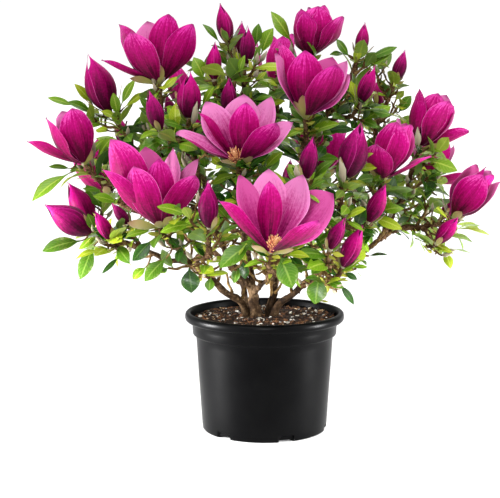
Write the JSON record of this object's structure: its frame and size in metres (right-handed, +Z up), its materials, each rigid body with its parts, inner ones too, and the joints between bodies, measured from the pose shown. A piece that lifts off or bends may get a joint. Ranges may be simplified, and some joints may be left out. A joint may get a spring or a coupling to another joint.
{
  "type": "potted magnolia shrub",
  "caption": "A flowering magnolia shrub with several stems in a round black nursery pot, with upright magenta buds, open goblet flowers and young green leaves all round.",
  "frame": {"origin": "middle of the pot's flat underside", "axes": "+Z up, +X to the right of the plant's best side, -Y towards whoever looks at that side"},
  "size_m": [0.6545, 0.6472, 0.6149],
  "materials": {
    "pot_plastic": "matt black moulded plastic with a soft sheen",
    "potting_mix": "coarse bark crumbs with white grains",
    "bark": "grey-brown bark, smooth, with pores and spur scars",
    "foliage": "leaf with a soft gloss and a paler midrib",
    "blossom": "satin tepal, magenta outside and pale pink inside"
  },
  "bodies": {
    "root": {"pot": "pot_plastic", "potting_mix": "potting_mix", "trunk": "bark", "stem_left": "bark", "stem_right": "bark", "stem_inner_right": "bark", "stem_back_left": "bark", "stem_back_right": "bark", "stem_inner_left": "bark", "stem_middle": "bark", "stem_front": "bark", "bough_low_left": "bark", "bough_front_left": "bark", "bough_upper_left": "bark", "bough_inner_left": "bark", "bough_front": "bark", "bough_crown": "bark", "bough_low_front": "bark", "bough_top_right": "bark", "bough_upper_front": "bark", "bough_right": "bark", "bough_right_front": "bark", "bough_far_right": "bark", "bough_back_left": "bark", "bough_back_far_left": "bark", "bough_back_right": "bark", "bough_back_far_right": "bark", "bough_back_top": "bark", "spray_low_left": "foliage", "spray_left": "blossom", "spray_front_left": "blossom", "spray_low_middle": "foliage", "spray_upper_left": "foliage", "spray_top_left": "blossom", "spray_inner_left": "foliage", "spray_front": "blossom", "spray_crown": "foliage", "spray_crown_front": "foliage", "spray_heart": "foliage", "spray_low_front": "blossom", "spray_middle_front": "foliage", "spray_top_right": "blossom", "spray_upper_front": "blossom", "spray_upper_right": "foliage", "spray_right": "blossom", "spray_far_right": "blossom", "spray_right_front": "foliage", "spray_low_right": "foliage", "spray_far_low_right": "blossom", "spray_right_top": "foliage", "spray_back_left": "blossom", "spray_back_low": "foliage", "spray_back_far_left": "blossom", "spray_back_upper_left": "foliage", "spray_back_top": "blossom", "spray_back_right": "blossom", "spray_back_low_right": "foliage", "spray_back_far_right": "blossom"}
  },
  "joints": []
}
